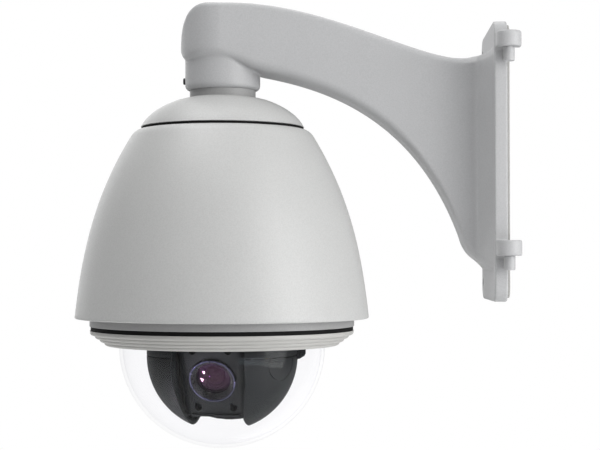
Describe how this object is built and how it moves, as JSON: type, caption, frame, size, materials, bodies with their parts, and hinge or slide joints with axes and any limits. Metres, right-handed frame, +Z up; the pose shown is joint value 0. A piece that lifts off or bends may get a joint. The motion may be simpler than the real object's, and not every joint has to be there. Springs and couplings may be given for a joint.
{
  "type": "ptz dome camera",
  "caption": "Outdoor pan-tilt-zoom dome camera: bell-shaped housing with a clear bubble, hung from a hinged gooseneck wall arm.",
  "frame": {"origin": "centre of the wall flange, on the back of its gasket, where it meets the wall plate", "axes": "+Z up; +X out of the back of the flange into the wall; the arm reaches along -X and the pan axis is vertical"},
  "size_m": [0.3226, 0.2164, 0.3264],
  "materials": {
    "casting_paint": "fine textured light grey powder coat",
    "bell_paint": "fine textured light grey powder coat",
    "trim_plastic": "warm light grey moulded plastic",
    "housing_metal": "die cast, painted grey",
    "sheet_steel": "plated sheet",
    "fastener": "zinc plated",
    "dark_fastener": "black oxide",
    "black_rubber": "moulded",
    "grey_rubber": "foam strip",
    "clear_dome": "polished clear plastic",
    "black_plastic": "moulded satin black",
    "bezel_plastic": "moulded dark grey",
    "lens_glass": "coated optical glass",
    "lens_black": "anodised black",
    "circuit_board": "green solder mask",
    "gear_plastic": "black acetal",
    "bearing_steel": "ground steel",
    "brass": "turned",
    "motor_black": "black steel can",
    "ceramic": "heater resistor"
  },
  "bodies": {
    "wall_arm": {"wall_arm": "casting_paint", "hinge_pins": "casting_paint", "flange_gasket": "grey_rubber", "collar_set_screws": "dark_fastener", "top_cap": "casting_paint", "cap_gasket": "black_rubber", "cap_screws": "fastener", "bell_shield": "bell_paint", "inner_housing": "housing_metal", "cable_gland": "black_plastic", "seal_ring": "black_rubber", "trim_ring": "trim_plastic", "trim_lock_screw": "dark_fastener", "bubble": "clear_dome", "bubble_gasket": "black_rubber", "clamp_ring": "sheet_steel", "clamp_screws": "fastener", "chassis_plate": "sheet_steel", "chassis_standoffs": "housing_metal", "chassis_screws": "fastener", "power_board": "circuit_board", "main_board": "circuit_board", "board_posts": "brass", "heater": "ceramic", "blower_frame": "black_plastic", "slip_ring_stator": "black_plastic", "bearing_housing": "housing_metal", "bearing_outer_race": "bearing_steel", "pan_motor": "motor_black"},
    "blower": {"blower_rotor": "black_plastic"},
    "pan_head": {"slip_ring_rotor": "brass", "bearing_balls": "bearing_steel", "bearing_inner_race": "bearing_steel", "pan_hub": "housing_metal", "hub_screws": "fastener", "turntable": "sheet_steel", "pan_gear": "gear_plastic", "yoke_arms": "sheet_steel", "tilt_bushes": "brass", "tilt_motor": "motor_black", "shroud_upper": "black_plastic", "shroud_lower": "black_plastic", "shroud_latch": "black_plastic"},
    "pan_drive": {"pan_pinion": "brass"},
    "camera": {"tilt_axles": "fastener", "tilt_gear": "gear_plastic", "camera_bracket": "sheet_steel", "camera_body": "motor_black", "camera_bezel": "bezel_plastic", "bezel_screws": "dark_fastener", "lens_barrel": "lens_black", "lens_ring": "lens_black", "front_glass": "lens_glass", "sensor_board": "circuit_board", "processor_board": "circuit_board"},
    "tilt_drive": {"tilt_pinion": "brass"},
    "zoom": {"zoom_group": "lens_black"},
    "focus": {"focus_group": "lens_black"},
    "filter": {"cut_filter": "lens_glass"}
  },
  "joints": [
    {"name": "pan", "type": "hinge", "parent": "wall_arm", "child": "pan_head", "pos_m": [-0.207, 0, -0.08], "axis": [0, 0, 1], "continuous": true},
    {"name": "pan_drive", "type": "hinge", "parent": "wall_arm", "child": "pan_drive", "pos_m": [-0.207, 0.0526, -0.08], "axis": [0, 0, 1], "continuous": true},
    {"name": "tilt", "type": "hinge", "parent": "pan_head", "child": "camera", "pos_m": [-0.207, 0, -0.14], "axis": [0.9925, -0.1219, 0], "range_deg": [-26, 64]},
    {"name": "tilt_drive", "type": "hinge", "parent": "pan_head", "child": "tilt_drive", "pos_m": [-0.207, 0, -0.1099], "axis": [0.9925, -0.1219, 0], "range_deg": [-260, 110]},
    {"name": "zoom", "type": "slide", "parent": "camera", "child": "zoom", "axis": [-0.1095, -0.8921, -0.4384], "range_m": [-0.009, 0.006]},
    {"name": "focus", "type": "slide", "parent": "camera", "child": "focus", "axis": [-0.1095, -0.8921, -0.4384], "range_m": [-0.004, 0.003]},
    {"name": "cut_filter", "type": "slide", "parent": "camera", "child": "filter", "axis": [0.9925, -0.1219, 0], "range_m": [0, 0.011]},
    {"name": "blower", "type": "hinge", "parent": "wall_arm", "child": "blower", "pos_m": [-0.207, -0.052, -0.06], "axis": [0, 0, 1], "continuous": true}
  ],
  "couplings": [
    {"joint": "pan_drive", "follows": "pan", "ratio": -6},
    {"joint": "tilt_drive", "follows": "tilt", "ratio": -4}
  ]
}
